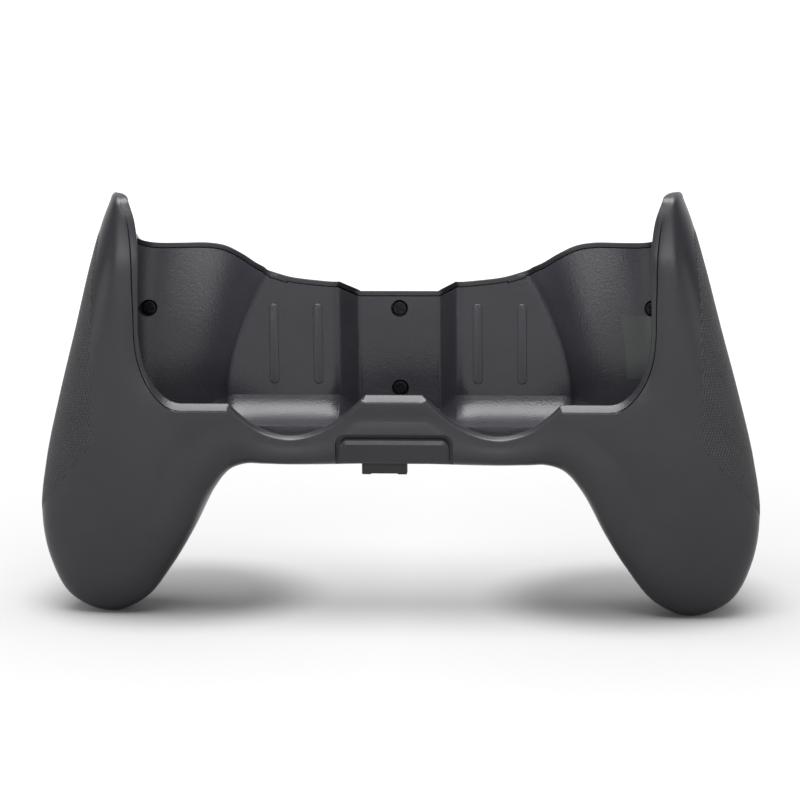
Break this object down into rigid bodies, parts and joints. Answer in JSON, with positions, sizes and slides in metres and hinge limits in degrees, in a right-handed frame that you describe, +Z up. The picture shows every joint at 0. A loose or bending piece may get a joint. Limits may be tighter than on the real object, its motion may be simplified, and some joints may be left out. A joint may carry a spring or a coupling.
{
  "type": "two-handled grip cradle for a handheld screen",
  "caption": "Two-handled grip cradle: a handheld screen slides in between two fins from above, rests on a docking floor and is held by a spring-loaded lock slider under the bridge.",
  "frame": {"origin": "middle of the footprint, on the surface that the two handle tips stand on", "axes": "+X to the right as the user sees it, +Y to the back, away from the user, +Z up along the handles and fins"},
  "size_m": [0.2406, 0.0428, 0.1417],
  "materials": {
    "shell_plastic": "satin, very fine mould grain",
    "liner_plastic": "satin",
    "grip_skin": "fine raised diamond texture",
    "plate_plastic": "satin",
    "label_film": "bare film with a faint sheen",
    "black_screw": "black oxide",
    "plain_steel": "plated",
    "circuit_board": "green lacquer",
    "connector_steel": "stamped",
    "cell_foil": "pouch foil",
    "foam_tape": "double-sided foam tape",
    "lead_wire": "insulated wire",
    "black_plastic": "satin"
  },
  "bodies": {
    "grip": {"front_shell": "shell_plastic", "rear_shell": "shell_plastic", "cradle_liner": "liner_plastic", "left_grip_skin": "grip_skin", "right_grip_skin": "grip_skin", "front_plate": "plate_plastic", "rating_label": "label_film", "spine_screw_upper": "black_screw", "spine_screw_lower": "black_screw", "left_side_screw": "black_screw", "right_side_screw": "black_screw", "left_handle_screw_low": "black_screw", "left_handle_screw_high": "black_screw", "right_handle_screw_low": "black_screw", "right_handle_screw_high": "black_screw", "main_board": "circuit_board", "left_board_screw": "plain_steel", "right_board_screw": "plain_steel", "dock_plug": "connector_steel", "charge_socket": "connector_steel", "left_cell": "cell_foil", "right_cell": "cell_foil", "left_cell_tape": "foam_tape", "right_cell_tape": "foam_tape", "left_cell_leads": "lead_wire", "right_cell_leads": "lead_wire", "lock_guide": "shell_plastic", "left_guide_screw": "plain_steel", "right_guide_screw": "plain_steel", "lock_spring": "plain_steel"},
    "lock": {"latch_bar": "black_plastic", "lock_knob": "black_plastic"}
  },
  "joints": [
    {"name": "lock_slide", "type": "slide", "parent": "grip", "child": "lock", "axis": [1, 0, 0], "range_m": [0, 0.0065], "stiffness_N_per_m": 80, "springref_m": -0.008, "deforming": ["lock_spring"]}
  ]
}
